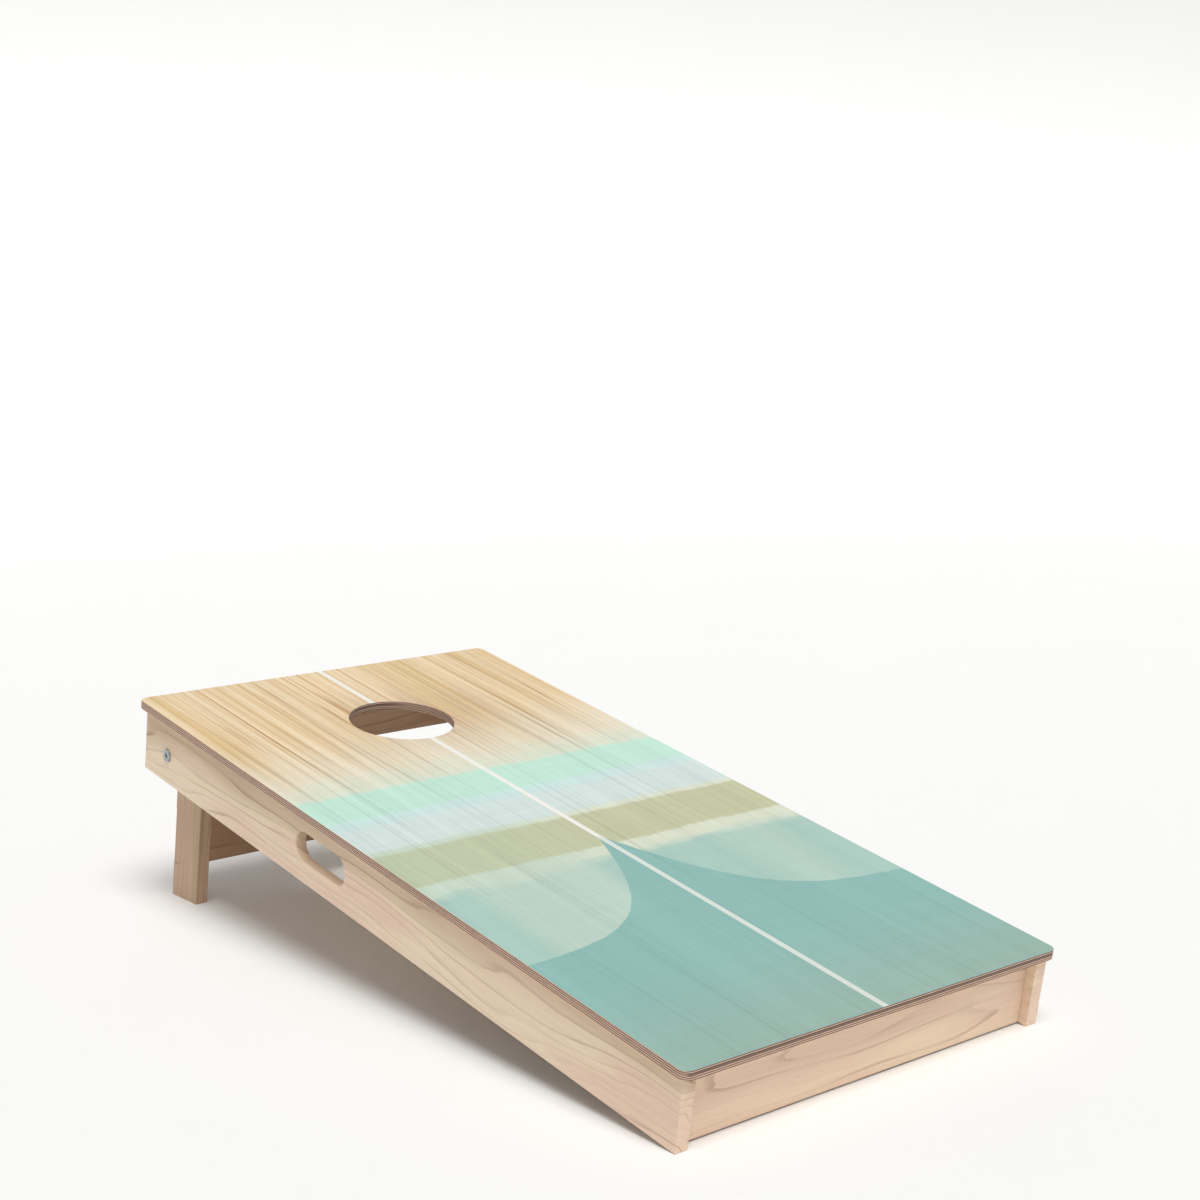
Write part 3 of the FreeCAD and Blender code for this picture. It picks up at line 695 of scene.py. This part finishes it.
class BAGBOARD_OT_deck(bpy.types.Operator):
    """Build the plywood deck with its printed face and its hole"""

    bl_idname = "bagboard.deck"
    bl_label = "Deck"

    def execute(self, context):
        shape = settings("shape")
        bm = bmesh.new()
        rectangle(bm, (DECK_LOW.x, DECK_LOW.y), (DECK_HIGH.x, DECK_HIGH.y))
        round_corners(bm, bm.verts[:], shape.corner, 10)
        hole = bmesh.new()
        bmesh.ops.create_circle(hole, cap_ends=True, segments=128, radius=HOLE_R)
        bmesh.ops.translate(hole, vec=(HOLE.x, HOLE.y, 0), verts=hole.verts[:])
        cut_out(bm, hole)
        thicken(bm, bm.faces[:], -DECK_THICK)
        for face in bm.faces:
            face.material_index = 1 if abs(face.normal.z) < 0.5 else 0
            face.smooth = abs(face.normal.z) < 0.5
            if face.normal.z < -0.5:
                face.material_index = 2
        easing(bm, sharp_edges(bm), shape.edge * 0.7)
        veneer = timber("deck_underside", ALONG, THROUGH, (0.3, 0.13, 0.09))
        finish_piece("plywood_deck", bm, (printed_face(), ply_edge(), veneer), "board",
                     ["deck"])
        return {"FINISHED"}


class BAGBOARD_OT_side_rails(bpy.types.Operator):
    """Give the two side rails their wood"""

    bl_idname = "bagboard.side_rails"
    bl_label = "Side rails"

    def execute(self, context):
        left = timber("left_rail_wood", ALONG, ACROSS, (1.55, 0.010, 0.262), heart_rings=8.0,
                      tone=LEFT_RAIL_TONE, sense=-1.0)
        right = timber("right_rail_wood", ALONG, ACROSS, (1.90, 0.085, -0.315), heart_rings=6.5)
        dress("left_side_rail", left)
        dress("right_side_rail", right)
        return {"FINISHED"}


class BAGBOARD_OT_aprons(bpy.types.Operator):
    """Give the front and rear aprons their wood"""

    bl_idname = "bagboard.aprons"
    bl_label = "Aprons"

    def execute(self, context):
        dress("front_apron", timber("front_apron_wood", ACROSS, ALONG, (0.90, 0.068, 0.030),
                                    tone=FRONT_APRON_TONE))
        # The rear apron's tone is painted shade, for the shade it lies in under the deck.
        dress("rear_apron", timber("rear_apron_wood_painted_shade", ACROSS, ALONG, (3.10, 0.030, -1.210),
                                   tone=REAR_APRON_PAINTED_SHADE))
        return {"FINISHED"}


class BAGBOARD_OT_pivot_blocks(bpy.types.Operator):
    """Give the spacer blocks at the pivots their wood"""

    bl_idname = "bagboard.pivot_blocks"
    bl_label = "Pivot blocks"

    def execute(self, context):
        for side, through in zip(SIDES, (0.31, -0.23)):
            wood = timber(side + "_block_wood", THROUGH, ACROSS, (0.7, -1.06, through))
            dress(side + "_pivot_block", wood)
        return {"FINISHED"}


class BAGBOARD_OT_leg_frame(bpy.types.Operator):
    """Give the legs and their brace their wood, darkened by painted shade"""

    bl_idname = "bagboard.leg_frame"
    bl_label = "Leg frame"

    def execute(self, context):
        # The leg and brace tones are painted shade, for the shade under the deck. The legs' heartwood falls on
        # their front edges and is partly real heartwood, partly painted shade.
        for side, heart in zip(SIDES, ((0.40, -1.082, 0.285), (2.20, -1.090, -0.200))):
            wood = timber(side + "_leg_wood_painted_shade", THROUGH, ACROSS, heart, heart_rings=6.2, tone=LEG_PAINTED_SHADE)
            dress(side + "_leg", wood)
        dress("leg_brace", timber("brace_wood_painted_shade", ACROSS, ALONG, (1.60, 0.160, -1.060), tone=BRACE_PAINTED_SHADE))
        return {"FINISHED"}


def turn_round(bm, steps, merge):
    """Turn an outline once round the z axis, and weld what meets."""
    bmesh.ops.spin(bm, geom=bm.verts[:] + bm.edges[:], cent=(0, 0, 0), axis=(0, 0, 1), angle=math.tau,
                   steps=steps, use_merge=True)
    bmesh.ops.remove_doubles(bm, verts=bm.verts[:], dist=merge)


def push_out(bm, edges, depth, factor):
    """Extrude a loop of edges by depth along z and scale it about the z axis. Returns the new edges."""
    made = bmesh.ops.extrude_edge_only(bm, edges=edges)["geom"]
    verts = [part for part in made if isinstance(part, bmesh.types.BMVert)]
    bmesh.ops.translate(bm, verts=verts, vec=(0, 0, depth))
    bmesh.ops.scale(bm, verts=verts, vec=(factor, factor, 1))
    return [part for part in made if isinstance(part, bmesh.types.BMEdge)]


def cross_outline():
    """The flat cross of a bolt's recess."""
    shape = settings("shape")
    cross = bmesh.new()
    bmesh.ops.create_grid(cross, x_segments=3, y_segments=3, size=shape.recess_span)
    for vert in cross.verts:
        for axis in (0, 1):
            if abs(vert.co[axis]) < shape.recess_span / 2:
                vert.co[axis] = math.copysign(shape.recess_wing, vert.co[axis])
    quarters = [f for f in cross.faces if min(map(abs, f.calc_center_median()[:2])) >= TINY]
    bmesh.ops.delete(cross, geom=quarters, context="FACES")
    bmesh.ops.dissolve_faces(cross, faces=cross.faces[:], use_verts=False)
    return cross


def wind_thread(bm, root, total):
    """Wind the ridge of a thread round the root, up to the bolt's end."""
    shape = settings("shape")
    start = total - shape.thread_length
    pitch = shape.thread_pitch
    foot = root * RIDGE_SUNK
    spots = ((foot, start), (shape.shank_radius, start + pitch / 2), (foot, start + pitch))
    ridge = [bm.verts.new((radius, 0, height)) for radius, height in spots]
    section = bm.faces.new(ridge)
    turns = int((shape.thread_length - 1.5 * pitch) / pitch)
    bmesh.ops.spin(bm, geom=[*ridge, *section.edges, section], cent=(0, 0, 0), axis=(0, 0, 1),
                   dvec=(0, 0, pitch / TURN_STEPS), angle=math.tau * turns, steps=TURN_STEPS * turns)
    bmesh.ops.recalc_face_normals(bm, faces=bm.faces[:])


def bolt_bmesh(total):
    """A bolt along z from its head's face: cross recess, shank and a threaded end."""
    shape = settings("shape")
    bm = bmesh.new()
    bmesh.ops.create_circle(bm, segments=64, radius=shape.head_radius)
    cut_out(bm, cross_outline())
    rims = [e for e in bm.edges if e.is_boundary]
    inner = [e for e in rims if max(v.co.length for v in e.verts) < shape.head_radius * 0.9]
    outer = [e for e in rims if e not in inner]
    floor = push_out(bm, inner, shape.recess_depth, RECESS_TAPER)
    bmesh.ops.contextual_create(bm, geom=floor)

    root = shape.shank_radius - shape.thread_depth
    smooth_length = total - shape.head_thick - shape.thread_length
    loop = push_out(bm, outer, shape.head_thick, 1.0)
    loop = push_out(bm, loop, 0.0, shape.shank_radius / shape.head_radius)
    loop = push_out(bm, loop, smooth_length, 1.0)
    loop = push_out(bm, loop, 0.0, root / shape.shank_radius)
    loop = push_out(bm, loop, shape.thread_length - shape.thread_pitch / 2, 1.0)
    loop = push_out(bm, loop, shape.thread_pitch / 2, BOLT_END_TAPER)
    bmesh.ops.contextual_create(bm, geom=loop)
    bmesh.ops.recalc_face_normals(bm, faces=bm.faces[:])
    easing(bm, outer, shape.head_thick * 0.25)
    wind_thread(bm, root, total)
    return bm


def ring_bmesh():
    """The nylon ring of a lock nut, round z, with 0 at the nut's end."""
    shape = settings("shape")
    bm = bmesh.new()
    low = shape.shank_radius - shape.thread_depth / 2
    rectangle(bm, (low, -shape.ring_depth), (shape.ring_radius, shape.ring_proud))
    round_corners(bm, bm.verts[:], shape.ring_proud, 3)
    bmesh.ops.delete(bm, geom=bm.faces[:], context="FACES_ONLY")
    bmesh.ops.rotate(bm, verts=bm.verts[:], matrix=Matrix.Rotation(math.pi / 2, 3, "X"))
    turn_round(bm, 48, 1e-7)
    return bm


def soften(bm, least=32.0):
    """Smooth shading with sharp edges where faces meet at more than so many degrees."""
    for face in bm.faces:
        face.smooth = True
    for edge in bm.edges:
        edge.smooth = not edge.is_manifold or edge.calc_face_angle() < math.radians(least)


def across_board(bm, side, start):
    """Lay a piece that was shaped along z on the pivot line of one side, from start inwards."""
    lay = Matrix.Translation((start, PIVOT.y, PIVOT.z)) @ Matrix.Rotation(math.pi / 2, 4, "Y")
    bmesh.ops.transform(bm, matrix=lay, verts=bm.verts[:])
    if side == "right":
        bmesh.ops.scale(bm, vec=(-1, 1, 1), verts=bm.verts[:])
    bmesh.ops.recalc_face_normals(bm, faces=bm.faces[:])


class BAGBOARD_OT_pivot_bolts(bpy.types.Operator):
    """Build the pivot bolts and the nylon rings of their lock nuts"""

    bl_idname = "bagboard.pivot_bolts"
    bl_label = "Pivot bolts"

    def execute(self, context):
        steel, nylon = plated_steel(), natural_nylon()
        head, tip = (corner.x for corner in flat_box("left_pivot_bolt"))
        nut_end = flat_box("left_lock_nut")[1].x
        for side in SIDES:
            bm = bolt_bmesh(tip - head)
            soften(bm)
            across_board(bm, side, head)
            finish_piece(side + "_bolt", bm, (steel,), "board", [side + "_pivot_bolt"])

            bm = ring_bmesh()
            soften(bm)
            across_board(bm, side, nut_end)
            finish_piece(side + "_nut_ring", bm, (nylon,), "board", [])
        return {"FINISHED"}


class BAGBOARD_OT_hardware(bpy.types.Operator):
    """Finish the nuts, washers, screws and dowels"""

    bl_idname = "bagboard.hardware"
    bl_label = "Hardware"

    def execute(self, context):
        finishes = {
            "zinc_steel": bpy.data.materials["bright_zinc"],
            "nylon": bpy.data.materials["moulded_nylon"],
            "dowel_wood": timber("beech_dowels", ACROSS, ALONG, (0.2, 0.02, 0.03)),
        }
        for part in frame["record"]["subparts"]:
            if part["material_slot"] in finishes and not part["node"].endswith("bolt"):
                dress(part["node"], finishes[part["material_slot"]])
        return {"FINISHED"}


def floor_piece(look):
    """A round floor that sweeps up into a low wall all round."""
    bm = bmesh.new()
    reach, wall = look.floor_radius, look.floor_wall
    profile = [bm.verts.new(spot) for spot in ((0, 0, 0), (reach, 0, 0), (reach, 0, wall))]
    for start, end in zip(profile, profile[1:]):
        bm.edges.new((start, end))
    bmesh.ops.bevel(bm, geom=[profile[1]], offset=look.floor_sweep, segments=24, profile=0.5,
                    affect="VERTICES", material=-1)
    turn_round(bm, 128, 1e-5)
    bmesh.ops.recalc_face_normals(bm, faces=bm.faces[:])
    for face in bm.faces:
        face.smooth = True
    mesh = bpy.data.meshes.new("floor")
    bm.to_mesh(mesh)
    bm.free()
    mesh.materials.append(stage_floor())
    return bpy.data.objects.new("floor", mesh)


class BAGBOARD_OT_stage(bpy.types.Operator):
    """Set the floor, the lights and the camera"""

    bl_idname = "bagboard.stage"
    bl_label = "Stage"

    def execute(self, context):
        look = settings("stage")
        scene = bpy.context.scene

        floor = floor_piece(look)
        scene.collection.objects.link(floor)

        light = bpy.data.lights.new("main_light", "SUN")
        light.energy = look.sun
        light.angle = look.sun_spread
        lamp = bpy.data.objects.new("main_light", light)
        lamp.rotation_euler = SUN_DIRECTION.to_track_quat("-Z", "Y").to_euler()
        scene.collection.objects.link(lamp)
        world = bpy.data.worlds.new("studio")
        world.use_nodes = True
        background = next(n for n in world.node_tree.nodes if n.type == "BACKGROUND")
        background.inputs["Color"].default_value = (1, 1, 1, 1)
        background.inputs["Strength"].default_value = look.sky
        scene.world = world

        camera_data = bpy.data.cameras.new("camera")
        camera_data.lens = look.lens
        camera_data.shift_x = look.shift
        camera = bpy.data.objects.new("camera", camera_data)
        camera.location = (look.camera_x, look.camera_y, look.camera_z)
        camera.rotation_euler = (math.pi / 2 - look.dip, 0, -look.heading)
        scene.collection.objects.link(camera)
        scene.camera = camera
        scene.view_settings.view_transform = "Standard"
        return {"FINISHED"}


class BAGBOARD_PT_panel(bpy.types.Panel):
    """Lists the pieces of the board"""

    bl_idname = "BAGBOARD_PT_panel"
    bl_label = "Bag Toss Board"
    bl_space_type = "VIEW_3D"
    bl_region_type = "UI"
    bl_category = "Bag Toss Board"

    def draw(self, context):
        for operator in OPERATORS:
            self.layout.operator(operator.bl_idname)


GROUPS = {"shape": BagBoardShape, "print": BagBoardPrint, "timber": BagBoardTimber, "stage": BagBoardStage}
OPERATORS = (
    BAGBOARD_OT_deck,
    BAGBOARD_OT_side_rails,
    BAGBOARD_OT_aprons,
    BAGBOARD_OT_pivot_blocks,
    BAGBOARD_OT_leg_frame,
    BAGBOARD_OT_pivot_bolts,
    BAGBOARD_OT_hardware,
    BAGBOARD_OT_stage,
)


def register():
    """Register the classes and the property groups."""
    for group in GROUPS.values():
        bpy.utils.register_class(group)
    for name, group in GROUPS.items():
        setattr(bpy.types.Scene, "bag_board_" + name, bpy.props.PointerProperty(type=group))
    for item in (*OPERATORS, BAGBOARD_PT_panel):
        bpy.utils.register_class(item)


def unregister():
    """Take them out again."""
    for item in reversed((*OPERATORS, BAGBOARD_PT_panel)):
        bpy.utils.unregister_class(item)
    for name, group in GROUPS.items():
        delattr(bpy.types.Scene, "bag_board_" + name)
        bpy.utils.unregister_class(group)


def main():
    """Build every piece, then the stage."""
    register()
    timber_figure()
    for operator in OPERATORS:
        group, name = operator.bl_idname.split(".")
        getattr(getattr(bpy.ops, group), name)()


if __name__ == "__main__":
    main()
